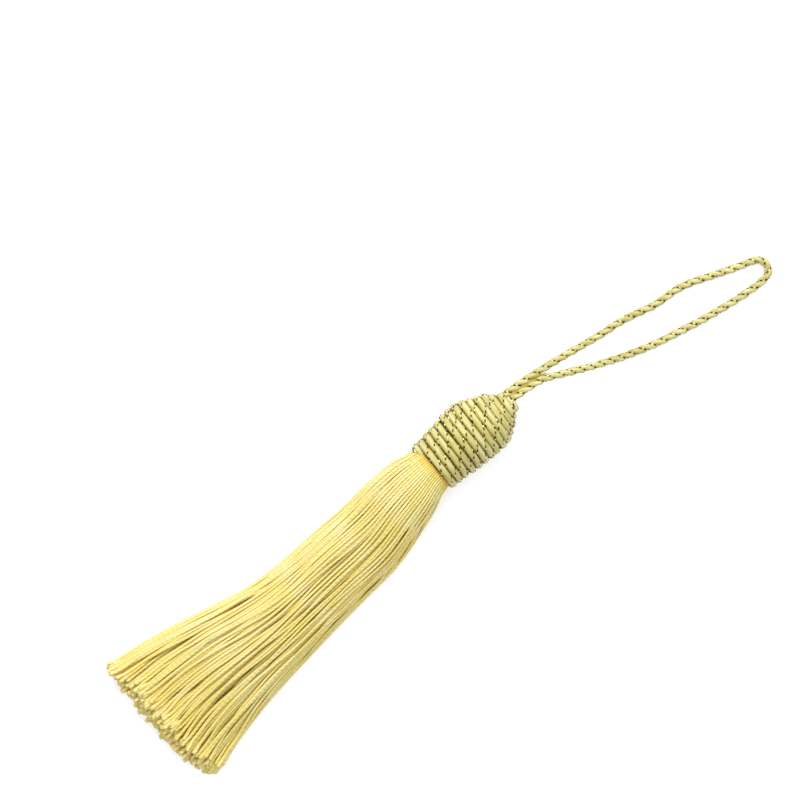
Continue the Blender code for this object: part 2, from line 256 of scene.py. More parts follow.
def tubes(name, rings, along, turned, marks, material):
    """One mesh of closed tubes from rings of points, shaped (tubes, steps, sides, xyz), in millimetres.

    The faces are the grid's quads and a flat one over each end. The UV map holds the length along the tube
    and the share of a turn round it. marks are named values for each point, which the materials read.
    """
    count, steps, sides = rings.shape[:3]
    index = np.arange(count * steps * sides).reshape(count, steps, sides)
    after = np.roll(index, -1, axis=2)
    quads = np.stack([index[:, :-1], after[:, :-1], after[:, 1:], index[:, 1:]], axis=-1)
    corners = np.concatenate([quads.ravel(), index[:, 0, ::-1].ravel(), index[:, -1].ravel()])
    sizes = np.concatenate([np.full(quads.size // 4, 4), np.full(2 * count, sides)])

    shape = (count, steps, sides + 1)
    closed = np.concatenate([turned, turned[..., :1] + 1.0], axis=-1)
    uv = np.stack([np.broadcast_to(along[..., None], shape), np.broadcast_to(closed, shape)], axis=-1)
    quad_uv = np.stack([uv[:, :-1, :-1], uv[:, :-1, 1:], uv[:, 1:, 1:], uv[:, 1:, :-1]], axis=3)
    end_uv = [uv[:, 0, sides - 1 :: -1], uv[:, -1, :-1]]
    corner_uv = np.concatenate([part.reshape(-1, 2) for part in (quad_uv, *end_uv)])

    mesh = bpy.data.meshes.new(name)
    mesh.vertices.add(index.size)
    mesh.vertices.foreach_set("co", ((rings + NECK) * MM).ravel())
    mesh.loops.add(len(corners))
    mesh.loops.foreach_set("vertex_index", corners)
    mesh.polygons.add(len(sizes))
    mesh.polygons.foreach_set("loop_start", np.concatenate([[0], np.cumsum(sizes)[:-1]]))
    mesh.polygons.foreach_set("use_smooth", sizes == 4)
    mesh.update(calc_edges=True)
    mesh.uv_layers.new(name="Length and turn").data.foreach_set("uv", corner_uv.ravel())
    for mark, values in marks.items():
        spread = np.broadcast_to(values, index.shape).astype(np.float32)
        mesh.attributes.new(mark, "FLOAT", "POINT").data.foreach_set("value", spread.ravel())
    mesh.validate()
    mesh.materials.append(material)
    obj = bpy.data.objects.new(name, mesh)
    bpy.context.scene.collection.objects.link(obj)
    return obj


# Shader node groups and materials


class NodeSheet:
    """A short way to write a node tree: each call adds a node, sets its inputs and gives back an output."""

    def __init__(self, tree):
        self.tree = tree

    def add(self, kind, inputs=(), output=0, **settings):
        node = self.tree.nodes.new(kind)
        for key, value in settings.items():
            setattr(node, key, value)
        for key, value in dict(inputs).items():
            if isinstance(value, bpy.types.NodeSocket):
                self.tree.links.new(value, node.inputs[key])
            else:
                node.inputs[key].default_value = value
        return node.outputs[output]

    def math(self, operation, a, b=0.0, clamp=False):
        return self.add("ShaderNodeMath", {0: a, 1: b}, operation=operation, use_clamp=clamp)

    def blend(self, share, low, high):
        """A mix of two colours by a share."""
        return self.add("ShaderNodeMix", {0: share, 6: low, 7: high}, 2, data_type="RGBA")

    def ramp(self, value, low, high):
        """0 up to low, 1 from high, and a smooth rise between."""
        inputs = {"Value": value, "From Min": low, "From Max": high}
        return self.add("ShaderNodeMapRange", inputs, interpolation_type="SMOOTHSTEP")

    def mark(self, name):
        """A value that the mesh holds for each point."""
        return self.add("ShaderNodeAttribute", output="Fac", attribute_name=name)

    def place(self):
        """The length along the piece in millimetres and the share of a turn round it."""
        return self.add("ShaderNodeUVMap", uv_map="Length and turn")


def node_group(name, inputs, outputs):
    """A new shader node group with named inputs and outputs, its sheet, and the input's sockets by name."""
    tree = bpy.data.node_groups.new(name, "ShaderNodeTree")
    for label, kind, default in inputs:
        socket = tree.interface.new_socket(label, in_out="INPUT", socket_type=f"NodeSocket{kind}")
        if default is not None:
            socket.default_value = default
    for label, kind in outputs:
        tree.interface.new_socket(label, in_out="OUTPUT", socket_type=f"NodeSocket{kind}")
    entry = tree.nodes.new("NodeGroupInput")
    leave = tree.nodes.new("NodeGroupOutput")
    return tree, NodeSheet(tree), entry.outputs, leave.inputs


def use_group(sheet, tree, inputs):
    """Places a node group in a material and gives back its outputs."""
    first = sheet.add("ShaderNodeGroup", inputs, node_tree=tree)
    return first.node.outputs


def filament_group():
    """Fine silk filaments that run along a yarn, and broad slubs: values high on each and low between."""
    tree, sheet, given, result = node_group(
        "Silk filaments",
        (("Place", "Vector", None), ("Filaments round", "Float", 24.0), ("Length", "Float", 4.0)),
        (("Filaments", "Float"), ("Slubs", "Float")),
    )
    split = sheet.add("ShaderNodeSeparateXYZ", {0: given["Place"]}).node.outputs
    across = sheet.math("MULTIPLY", split[1], given["Filaments round"])
    along = sheet.math("DIVIDE", split[0], given["Length"])
    spot = sheet.add("ShaderNodeCombineXYZ", {0: along, 1: across})
    fine = sheet.add("ShaderNodeTexNoise", {"Vector": spot, "Scale": 1.0, "Detail": 2.0}, 0)
    broad_across = sheet.math("MULTIPLY", across, 0.22)
    broad_spot = sheet.add("ShaderNodeCombineXYZ", {0: sheet.math("MULTIPLY", along, 0.6), 1: broad_across})
    broad = sheet.add("ShaderNodeTexNoise", {"Vector": broad_spot, "Scale": 1.0, "Detail": 1.0}, 0)
    sheet.tree.links.new(sheet.ramp(fine, 0.3, 0.7), result["Filaments"])
    sheet.tree.links.new(sheet.ramp(broad, 0.35, 0.65), result["Slubs"])
    return tree


def dye_and_shade_group():
    """The silk's colour: pale on the crests, streaked and uneven, with golden then deep painted shade in
    grooves.

    Pale turns to Warm with the streaks, the tone and the gaps between filaments, and that turns to the golden
    painted shade over the shade mask's first half and to the deep painted shade over its second.
    """
    tree, sheet, given, result = node_group(
        "Silk dye and painted shade",
        (
            ("Pale", "Color", (0.9, 0.8, 0.4, 1.0)),
            ("Warm", "Color", (0.8, 0.6, 0.2, 1.0)),
            ("Golden shade", "Color", (0.8, 0.5, 0.1, 1.0)),
            ("Deep shade", "Color", (0.4, 0.25, 0.05, 1.0)),
            ("Filaments", "Float", 0.5),
            ("Streaks", "Float", 0.5),
            ("Tone", "Float", 0.5),
            ("Painted shade", "Float", 0.0),
        ),
        (("Color", "Color"),),
    )
    streaks = sheet.math("MULTIPLY", given["Streaks"], 0.45)
    tone = sheet.math("MULTIPLY", given["Tone"], 0.55)
    share = sheet.math("ADD", streaks, tone, clamp=True)
    fine = sheet.math("MULTIPLY", sheet.math("SUBTRACT", 1.0, given["Filaments"]), 0.42)
    warmth = sheet.math("ADD", share, fine, clamp=True)
    body = sheet.blend(warmth, given["Pale"], given["Warm"])
    side = sheet.blend(sheet.ramp(given["Painted shade"], 0.0, 0.5), body, given["Golden shade"])
    colour = sheet.blend(sheet.ramp(given["Painted shade"], 0.45, 1.0), side, given["Deep shade"])
    sheet.tree.links.new(colour, result["Color"])
    return tree


def twist_group():
    """Plies twisted to the right round a plain yarn: its height and the mask of the grooves between.

    height = |sin(pi * plies * (turned - length / lead))|, and the mask is high where that is low; the silk
    takes it as painted shade.
    """
    tree, sheet, given, result = node_group(
        "Twisted plies",
        (("Place", "Vector", None), ("Lead", "Float", 2.3), ("Plies", "Float", 2.0)),
        (("Height", "Float"), ("Painted shade", "Float")),
    )
    split = sheet.add("ShaderNodeSeparateXYZ", {0: given["Place"]}).node.outputs
    lag = sheet.math("SUBTRACT", split[1], sheet.math("DIVIDE", split[0], given["Lead"]))
    phase = sheet.math("MULTIPLY", sheet.math("MULTIPLY", lag, given["Plies"]), math.pi)
    height = sheet.math("ABSOLUTE", sheet.math("SINE", phase))
    sheet.tree.links.new(height, result["Height"])
    sheet.tree.links.new(sheet.math("SUBTRACT", 1.0, sheet.ramp(height, 0.0, 0.55)), result["Painted shade"])
    return tree


def side_shade_group():
    """Painted shade on a yarn that lies on others: 0 on its top, golden on its sides and deep further down.

    The turn round the yarn starts at its inner side, so how far out a spot faces is -cos(2 pi turned).
    A higher tone gives more of both shades.
    """
    tree, sheet, given, result = node_group(
        "Painted yarn side shade", (("Place", "Vector", None), ("Tone", "Float", 0.5)), (("Painted shade", "Float"),)
    )
    split = sheet.add("ShaderNodeSeparateXYZ", {0: given["Place"]}).node.outputs
    below = sheet.math("COSINE", sheet.math("MULTIPLY", split[1], FULL_TURN))
    warmth = sheet.math("ADD", sheet.math("MULTIPLY", given["Tone"], 0.45), 0.28)
    golden = sheet.math("MULTIPLY", sheet.ramp(below, -0.93, -0.45), warmth)
    depth = sheet.math("ADD", sheet.math("MULTIPLY", given["Tone"], 0.35), 0.14)
    deep = sheet.math("MULTIPLY", sheet.ramp(below, -0.62, -0.05), depth)
    sheet.tree.links.new(sheet.math("ADD", golden, deep), result["Painted shade"])
    return tree


def dash_group():
    """Dark and bright lengths that take turns along a twisted metallic thread: 1 where it is dark.

    The UV map counts the dashes: a whole number is the middle of a bright one.
    """
    tree, sheet, given, result = node_group(
        "Twisted dashes",
        (("Place", "Vector", None), ("Dark share", "Float", 0.5), ("Uneven", "Float", 0.2)),
        (("Dark", "Float"),),
    )
    count = sheet.add("ShaderNodeSeparateXYZ", {0: given["Place"]}).node.outputs[0]
    spot = sheet.add("ShaderNodeCombineXYZ", {0: count})
    wander = sheet.add("ShaderNodeTexNoise", {"Vector": spot, "Scale": 0.9, "Detail": 0.0}, 0)
    stray = sheet.math("MULTIPLY", sheet.math("SUBTRACT", wander, 0.5), given["Uneven"])
    phase = sheet.math("FRACT", sheet.math("ADD", count, stray))
    swing = sheet.math("ABSOLUTE", sheet.math("SUBTRACT", phase, 0.5))
    edge = sheet.math("MULTIPLY", given["Dark share"], 0.5)
    dark = sheet.math("SUBTRACT", 1.0, sheet.ramp(swing, edge, sheet.math("ADD", edge, 0.08)))
    sheet.tree.links.new(dark, result["Dark"])
    return tree


def group_named(name, make):
    """The node group of that name, made the first time that it is asked for."""
    return bpy.data.node_groups.get(name) or make()


def new_material(name):
    """An empty material with a Principled BSDF: the material, its sheet and the shader's inputs."""
    material = bpy.data.materials.new(name)
    material.use_nodes = True
    return material, NodeSheet(material.node_tree), material.node_tree.nodes["Principled BSDF"].inputs


def silk_material(name, look, filaments_round, filament_length, lead=None):
    """Silk: dye and painted shade, roughness, fine relief from its filaments and from its plies if lead is
    given.

    lead is the length in millimetres of one turn of a yarn's plies, for a yarn whose mesh has none.
    """
    material, sheet, shader = new_material(name)
    place = sheet.place()
    inputs = {"Place": place, "Filaments round": filaments_round, "Length": filament_length}
    strands = use_group(sheet, group_named("Silk filaments", filament_group), inputs)
    # The mesh's mark of painted shade: in creases, ply grooves, at the yarns' roots and on the core.
    painted_shade, height, depth = sheet.mark("painted_shade"), strands["Filaments"], FILAMENT_DEPTH
    if lead:
        plies = use_group(sheet, group_named("Twisted plies", twist_group), {"Place": place, "Lead": lead})
        shade = {"Place": place, "Tone": sheet.mark("tone")}
        sides = use_group(sheet, group_named("Painted yarn side shade", side_shade_group), shade)["Painted shade"]
        # For a yarn, shade is also painted on its sides and in its plies' grooves.
        twisted = sheet.math("MULTIPLY", plies["Painted shade"], 0.26)
        painted_shade = sheet.math("MAXIMUM", painted_shade, sheet.math("ADD", sides, twisted))
        height = sheet.math("ADD", sheet.math("MULTIPLY", height, 0.3), plies["Height"])
        depth = PLY_DEPTH
    dye_and_shade = {
        "Pale": (*look.pale, 1.0),
        "Warm": (*look.warm, 1.0),
        "Golden shade": (*look.golden, 1.0),
        "Deep shade": (*look.deep, 1.0),
        "Filaments": strands["Filaments"],
        "Streaks": strands["Slubs"],
        "Tone": sheet.mark("tone"),
        "Painted shade": painted_shade,
    }
    colour = use_group(sheet, group_named("Silk dye and painted shade", dye_and_shade_group), dye_and_shade)["Color"]
    between, on_top = look.roughness + 0.12, look.roughness - 0.05
    inputs = {"Value": strands["Filaments"], "To Min": between, "To Max": on_top}
    rough = sheet.add("ShaderNodeMapRange", inputs)
    relief = {"Height": height, "Strength": 0.8, "Distance": depth * MM}
    links = sheet.tree.links
    links.new(colour, shader["Base Color"])
    links.new(rough, shader["Roughness"])
    links.new(sheet.add("ShaderNodeBump", relief), shader["Normal"])
    shader["Specular IOR Level"].default_value = 0.35
    shader["Sheen Weight"].default_value = 0.08
    shader["Sheen Roughness"].default_value = 0.4
    shader["Sheen Tint"].default_value = (1.0, 0.95, 0.75, 1.0)
    shader["Subsurface Weight"].default_value = look.glow
    shader["Subsurface Radius"].default_value = (1.0, 0.7, 0.25)
    shader["Subsurface Scale"].default_value = 0.5 * MM
    return material


def thread_material(look):
    """A metallic thread twisted from a dark strand and a gold one. The dark one is rougher and duller."""
    material, sheet, shader = new_material("black_and_gold_thread")
    inputs = {"Place": sheet.place(), "Dark share": look.dark_share, "Uneven": 0.8}
    dark = use_group(sheet, group_named("Twisted dashes", dash_group), inputs)["Dark"]
    links = sheet.tree.links
    links.new(sheet.blend(dark, (*look.gold, 1.0), (*look.black, 1.0)), shader["Base Color"])
    links.new(sheet.math("SUBTRACT", 1.0, sheet.math("MULTIPLY", dark, 0.12)), shader["Metallic"])
    links.new(sheet.math("ADD", sheet.math("MULTIPLY", dark, 0.15), 0.3), shader["Roughness"])
    return material


def table_material(stage):
    """Matt white, faintly mottled, with a faint glow that keeps the table pale."""
    material, sheet, shader = new_material("matt_white_table")
    spot = sheet.add("ShaderNodeTexCoord", output="Object")
    grain = sheet.add("ShaderNodeTexNoise", {"Vector": spot, "Scale": 6.0}, 0)
    share = sheet.math("MULTIPLY", grain, 0.05)
    mottled = sheet.blend(share, (*stage.floor_colour, 1.0), (0.86, 0.87, 0.9, 1.0))
    sheet.tree.links.new(mottled, shader["Base Color"])
    shader["Roughness"].default_value = 0.9
    shader["Specular IOR Level"].default_value = 0.1
    shader["Emission Color"].default_value = (0.88, 0.93, 1.0, 1.0)
    shader["Emission Strength"].default_value = stage.floor_glow
    return material


# Settings


def length_setting(name, description, millimetres):
    """A length that a user can change."""
    return FloatProperty(name=name, description=description, default=millimetres * MM, unit="LENGTH")


def colour_setting(name, description, default):
    """A colour that a user can change."""
    return FloatVectorProperty(
        name=name, description=description, size=3, subtype="COLOR", default=default, min=0.0, max=1.0
    )


class TasselStageSettings(PropertyGroup):
    """The table, the light and the view."""

    floor_size: length_setting("Table size", "Width of the table", 20000.0)
    floor_colour: colour_setting("Table colour", "Colour of the table", (0.85, 0.85, 0.85))
    floor_glow: FloatProperty(name="Table glow", description="Light that the table gives off", default=0.4)
    key_power: FloatProperty(name="Key light", description="Power of the main soft light", default=8.3)
    fill_power: FloatProperty(name="Fill light", description="Power of the light from above", default=7.0)
    sky: FloatProperty(name="Room light", description="Strength of the light from all round", default=0.38)


class TasselCordSettings(PropertyGroup):
    """The two-ply cord of the winding and the loop."""

    diameter: length_setting("Diameter", "Thickness over both plies", 1.9)
    lead: length_setting("Lead", "Length of one turn of the plies", 5.06)
    pale: colour_setting("Pale", "Silk on the crests", (0.76, 0.73, 0.37))
    warm: colour_setting("Warm", "Silk in the streaks", (0.50, 0.44, 0.11))
    # Golden and deep: painted shade in the cord's creases and grooves and on the core.
    golden: colour_setting("Golden shade", "Silk beside the grooves", (0.52, 0.35, 0.04))
    deep: colour_setting("Deep shade", "Silk in the grooves", (0.07, 0.032, 0.002))
    roughness: FloatProperty(name="Roughness", description="Roughness of the silk", default=0.38)
    glow: FloatProperty(name="Glow", description="Share of light that passes through", default=0.15)
    thread_diameter: length_setting("Thread", "Thickness of the metallic thread", 0.30)
    dark_share: FloatProperty(name="Dark share", description="Dark part of the thread", default=0.44)
    gold: colour_setting("Gold", "Gold of the thread", (0.86, 0.76, 0.42))
    black: colour_setting("Black", "Dark of the thread", (0.040, 0.031, 0.004))


class TasselHeadSettings(PropertyGroup):
    """The head's winding."""

    turns: IntProperty(name="Turns", description="Turns of cord from the neck to the top", default=14)
    cord_diameter: length_setting("Cord", "Thickness of the tightly wound cord", 1.85)
    lead: length_setting("Lead", "Length of one turn of the wound cord's plies", 7.4)
    core_depth: length_setting("Core depth", "Depth of the core under the crests", 1.3)


class TasselSkirtSettings(PropertyGroup):
    """The skirt's yarns."""

    yarns: IntProperty(name="Yarns", description="Number of yarns", default=330)
    radius: length_setting("Yarn radius", "Half a yarn's thickness", 0.35)
    lead: length_setting("Yarn lead", "Length of one turn of its plies", 2.3)
    wander: length_setting("Wander", "How far yarns stray sideways", 0.45)
    strays: IntProperty(name="Strays", description="Yarns that lie over the others", default=20)
    slits: IntProperty(name="Slits", description="Smaller partings between the locks", default=26)
    seed: IntProperty(name="Seed", description="Where the random draws start", default=11)
    pale: colour_setting("Pale", "Floss on the crests", (0.87, 0.80, 0.44))
    warm: colour_setting("Warm", "Floss in the streaks", (0.81, 0.68, 0.20))
    # Golden and deep: painted shade on the yarns' sides, in their plies' grooves and at their roots.
    golden: colour_setting("Golden shade", "Floss beside the grooves", (0.81, 0.57, 0.10))
    deep: colour_setting("Deep shade", "Floss in the grooves", (0.44, 0.27, 0.03))
    roughness: FloatProperty(name="Roughness", description="Roughness of the floss", default=0.4)
    glow: FloatProperty(name="Glow", description="Share of light that passes through", default=0.4)


# Cord


def cord_section(radius, lobes):
    """The cord's section: each corner's share of a turn, its radius in millimetres, and how deep it lies.

    It is two round plies side by side: radius = R * (lobes * |cos| + sqrt((1 - lobes)^2 - (lobes * sin)^2)),
    with the angle measured from a ply's crest. The depth is exp(-(gap / 20 degrees)^2), where gap is the
    angle to the nearer of the two grooves; it sets the shade painted in them.
    """
    corners = np.array([start + turn for start in (0, 180) for turn in PLY_CORNERS_DEG], float)
    crest = np.radians(corners)
    gap = np.abs((corners % 180) - 90)
    lobed = lobes * np.abs(np.cos(crest)) + np.sqrt((1 - lobes) ** 2 - (lobes * np.sin(crest)) ** 2)
    return corners / 360, radius * lobed, np.exp(-((gap / 20.0) ** 2))


def cord_pieces(name, line, outward, cord, look, silk, metal):
    """The cord on its line, and the two metallic threads that lie in its grooves.

    A corner stands at turned = its share of a turn + length / lead + sway * two slow waves. look gives the
    cord's radius and lead in millimetres, how far its plies stand apart (lobes), how its lead varies (sway),
    how much shade is painted where it faces away from out, as in the creases between turns (creased), how
    far that painted shade leans to one flank (lean), and how much shade is painted in its plies' grooves
    (grooved). The threads' middle lines lie outside the grooves by their own radius times thread_out +
    thread_sway * a slow wave. dashes is the count of dashes in each turn, and dash_drift is how far, in
    dashes, they wander.
    """
    line, along = evenly(line, look["lead"] / CORD_STEPS_PER_LEAD)
    outward = outward(line)
    shares, radii, depth = cord_section(look["radius"], look["lobes"])
    sway = look["sway"] * (np.sin(along / 9.0) + 0.6 * np.sin(along / 3.7 + 1.0))
    twist = (along / look["lead"] + sway)[:, None]
    turned = shares + twist
    rings = on_table(carried(line, outward, np.broadcast_to(radii, turned.shape), turned))
    # Painted shade: darker where the cord faces away from out, and leaning to one flank by lean.
    facing = np.cos(FULL_TURN * turned) + look["lean"] * np.sin(FULL_TURN * turned)
    uneven = 0.86 + 0.12 * np.sin(along / 2.3) + 0.12 * np.sin(along / 7.7 + 2.0)
    crease_shade = look["creased"] * uneven[:, None] * smoothstep((0.84 - facing) / 0.5)
    # Painted shade in the plies' grooves.
    painted_shade = look["grooved"] * smoothstep(depth * 1.2 - 0.1)
    tone = 0.30 + 0.15 * np.sin(along[:, None] * 0.9 + 4 * shares) + 0.15 * np.sin(along[:, None] / 5.3)
    marks = {"painted_shade": np.maximum(crease_shade, painted_shade)[None], "tone": tone[None]}
    body = tubes(name, rings[None], along[None], turned[None], marks, silk)

    threads = []
    thread_radius = cord.thread_diameter / MM / 2
    reach = np.full((len(line), THREAD_SIDES), thread_radius)
    round_thread = round_shares(THREAD_SIDES, along.shape)
    for label, groove_share in (("first", 0.25), ("second", 0.75)):
        round_cord = groove_share + twist
        out = look["thread_out"] + look["thread_sway"] * np.sin(along[:, None] / 2.9 + 5 * groove_share)
        centre = carried(line, outward, radii.min() + out * thread_radius, round_cord)[:, 0]
        ring = on_table(carried(centre, unit(centre - line), reach, round_thread))
        drifted = look["dash_drift"] * np.sin(along / 11.0 + 9 * groove_share)
        dashes = look["dashes"] * round_cord[:, 0] + drifted
        thread = f"{name}_{label}_thread"
        threads.append(tubes(thread, ring[None], dashes[None], round_thread[None], {}, metal))
    return body, threads, line, along[-1]


def loop_line(cord):
    """The loop's middle line: a smooth curve through its route that drops from the head to the table."""
    route = np.array(LOOP_ROUTE)
    route[[0, -1], 0] -= LOOP_SUNK
    lying = cord.diameter / MM / 2
    drop = smoothstep((route[:, 0] - LOOP_ROUTE[0][0] - LOOP_STRAIGHT) / LOOP_DROP)
    route = np.column_stack([route, AXIS_Z + (lying - AXIS_Z) * drop])
    along = lengths_along(route)
    curve = smooth_through(along, route, np.linspace(0.0, along[-1], CURVE_STEPS))
    curve[:, 2] = np.maximum(curve[:, 2], lying)
    return curve


def core_end(line):
    """The loose end of the head's yarn between the loop's legs: its rings, lengths and shares of a turn.

    Its middle line is halfway between the two legs' lines and a little lower. Its radius is even for 6 mm,
    and then 1 - 0.7 * smoothstep((length - 6) / 5) of that.
    """
    stations = np.linspace(*CORE_END, CORE_END_STEPS)
    far = len(line) // 2
    near_leg = [np.interp(stations, line[:far, 0], line[:far, k]) for k in (1, 2)]
    back_leg = [np.interp(stations, line[:far:-1, 0], line[:far:-1, k]) for k in (1, 2)]
    y, z = (np.array(near_leg) + np.array(back_leg)) / 2
    between = np.column_stack([stations, y, z - CORE_END_SUNK])
    along = lengths_along(between)
    thick = CORE_END_RADIUS * (1 - 0.7 * smoothstep((along - 6.0) / 5.0))
    turned = round_shares(CORE_END_SIDES, along.shape)
    reach = np.broadcast_to(thick[:, None], turned.shape)
    return on_table(carried(between, straight_up(between), reach, turned)), along, turned


def head_outline(depth):
    """Station, radius and length of the head's outline, moved in square to itself by a depth."""
    stations = np.linspace(HEAD_STATIONS[0], HEAD_STATIONS[-1], CURVE_STEPS)
    outline = np.stack([stations, smooth_through(HEAD_STATIONS, HEAD_CREST_RADII, stations)], axis=1)
    along = lengths_along(outline)
    slope = np.gradient(outline, along, axis=0)
    return outline + depth * slope[:, ::-1] * (1.0, -1.0), along


def winding_line(turns, half):
    """The wound cord's middle line: it lies half its thickness deep and turns to the left, neck to top.

    y = lean + radius * cos(angle) and z = axis + radius * sin(angle), where x and radius follow the head's
    outline by equal lengths for equal turns. Both ends run on for a part of a turn and dip under the turns,
    which bulge to +Y at the neck, over the cord's end. Slow waves make the turns a little uneven, and the
    head leans to +Y in its middle and to -Y at its top.
    """
    turned = np.linspace(-0.47, turns - 1 + 0.62, CURVE_STEPS * 4)
    outline, along = head_outline(half)
    pitch = along[-1] / turns
    length = np.clip((turned + 0.5) * pitch, 0.15 * pitch, along[-1])
    x, radius = (np.interp(length, along, outline[:, k]) for k in (0, 1))
    tucked_in = smoothstep((-turned - 0.30) / 0.17)
    tucked_out = smoothstep((turned - turns + 1 - 0.1) / 0.5)
    radius = radius - 1.6 * half * tucked_in - tucked_out * 0.6
    x = x + 0.6 * half * tucked_in - 0.4 * half * tucked_out
    angle = FULL_TURN * (WINDING_START_TURNS - turned)
    bulge = 1 + 0.10 * smoothstep(1 - x / 4.5) * np.clip(np.cos(angle), 0.0, None)
    radius = radius * bulge + 0.05 * np.sin(angle * 0.83 + 1.0) * smoothstep(turned)
    x = x + 0.06 * np.sin(angle * 1.37) + 0.06 * np.sin(angle * 0.61 + 1.0)
    middle_lean = 0.33 * smoothstep((x - 2.0) / 2.5) * smoothstep((16.0 - x) / 3.5)
    lean = middle_lean - 0.3 * smoothstep((x - 14.0) / 3.5)
    return np.column_stack([x, lean + radius * np.cos(angle), AXIS_Z + radius * np.sin(angle)])


def out_of_axis(line):
    """The direction straight out from the head's axis at each point of a line."""
    spoke = line - (0.0, 0.0, AXIS_Z)
    spoke[:, 0] = 0.0
    return unit(spoke)


def revolved(name, outline, sides, marks, material):
    """An outline of (x, radius) turned round the head's axis: y = r * cos(turn), z = axis + r * sin(turn)."""
    x, radius = outline[:, :1], outline[:, 1:2]
    turned = round_shares(sides, outline.shape[:1])
    y, z = radius * np.cos(FULL_TURN * turned), AXIS_Z + radius * np.sin(FULL_TURN * turned)
    rings = np.stack([np.broadcast_to(x, turned.shape), y, z], axis=-1)
    return tubes(name, rings[None], lengths_along(outline)[None], turned[None], marks, material)


# Skirt


class SkirtShape:
    """The skirt's section at given distances from the neck: an arch that settles on the table.

    A place in it is a share of the width (-1 to 1) and a share of the height (0 to 1).
    y = middle + half * across, and z = bottom + height * sqrt(1 - across^2) * up.
    """

    # In yarn radii: how far the top yarns' middles are under the section's height, and how high the lowest
    # yarns' middles lie over the table.
    TOP_SUNK = 0.6
    LYING = 1.35
    MOST_ACROSS = 0.985

    def __init__(self, distances, radius):
        columns = smooth_through(SKIRT_SECTIONS[:, 0], SKIRT_SECTIONS[:, 1:], distances)
        low, high, height, settled = np.moveaxis(columns, -1, 0)
        self.middle, self.half = (low + high) / 2, (high - low) / 2 - radius
        self.height, self.settled = height - self.TOP_SUNK * radius, np.minimum(settled, 1.0)
        self.lying = radius * self.LYING

    def places(self, across, up):
        """The places (y, z) at shares of the width and the height."""
        arch = np.sqrt(1 - across**2)
        bottom = (1 - self.settled) * (AXIS_Z - self.height / 2 * arch) + self.settled * self.lying
        return np.stack([self.middle + self.half * across, bottom + self.height * arch * up], axis=-1)

    def shares(self, places):
        """The shares of the width and the height that places have, kept inside the section."""
        across = np.clip((places[..., 0] - self.middle) / self.half, -self.MOST_ACROSS, self.MOST_ACROSS)
        bottom = self.places(across, np.zeros_like(across))[..., 1]
        top = self.places(across, np.ones_like(across))[..., 1]
        return across, np.clip((places[..., 1] - bottom) / (top - bottom), 0.0, 1.0)

    def area(self):
        """The area of half an ellipse as wide and as high."""
        return math.pi * self.half * self.height / 2


def drift(random, count, distances, reach):
    """How far each yarn has strayed at each distance: slow waves with random starts, none at the neck."""
    waves = np.array((75.0, 44.0, 27.0))
    size = reach * np.array((1.0, 0.6, 0.3)) * random.uniform(0.3, 1.2, (2, count, 3))
    start = random.uniform(0, FULL_TURN, (2, count, 3))
    swing = np.sin(FULL_TURN * distances[:, None, None, None] / waves + start)
    moved = (size * (swing - np.sin(start))).sum(-1) * smoothstep(distances / 18.0)[:, None, None]
    return np.moveaxis(moved, 1, -1)


def yarn_places(count, radius, wander, random):
    """Each yarn's place (y, z) at each of the sections, with neighbours pushed apart at every station.

    At the neck the yarns fill a disc in a sunflower's spiral: yarn n is at sqrt((n + 0.5) / count) of the
    radius and n golden angles round. At each station after it they keep their shares of the section, stray a
    little, and any two that are closer than room move apart in rounds, where room is what yarns packed in
    threes have.
    """
    order = np.arange(count)
    reach = np.sqrt((order + 0.5) / count)
    angle = order * math.pi * (3 - math.sqrt(5))
    disc = np.stack([reach * np.cos(angle), reach * np.sin(angle)], axis=1)
    across = disc[:, 0]
    up = (disc[:, 1] / np.sqrt(1 - across**2) + 1) / 2

    strays = drift(random, count, SKIRT_STATIONS, wander)
    courses, heights = [], []
    for k, distance in enumerate(SKIRT_STATIONS):
        shape = SkirtShape(distance, radius)
        room = PACKING * math.sqrt(shape.area() / count * 2 / math.sqrt(3))
        if k:
            moved = shape.places(across, up) + strays[k] - strays[k - 1]
            across, up = shape.shares(moved)
        for _ in range(LATER_ROUNDS if k else FIRST_ROUNDS):
            places = shape.places(across, up)
            apart = places[:, None] - places[None]
            distance_apart = np.linalg.norm(apart, axis=2) + np.eye(count) * 9.0 + 1e-6
            push = np.clip(room - distance_apart, 0.0, None) / distance_apart
            across, up = shape.shares(places + 0.4 * (apart * push[:, :, None]).sum(axis=1))
        courses.append(shape.places(across, up))
        heights.append(up)
    sections = np.linspace(0.0, SKIRT_STATIONS[-1], SKIRT_SECTION_COUNT)
    places, heights = (smooth_through(SKIRT_STATIONS, values, sections) for values in (courses, heights))
    return sections, places, np.clip(heights, 0.0, 1.0)


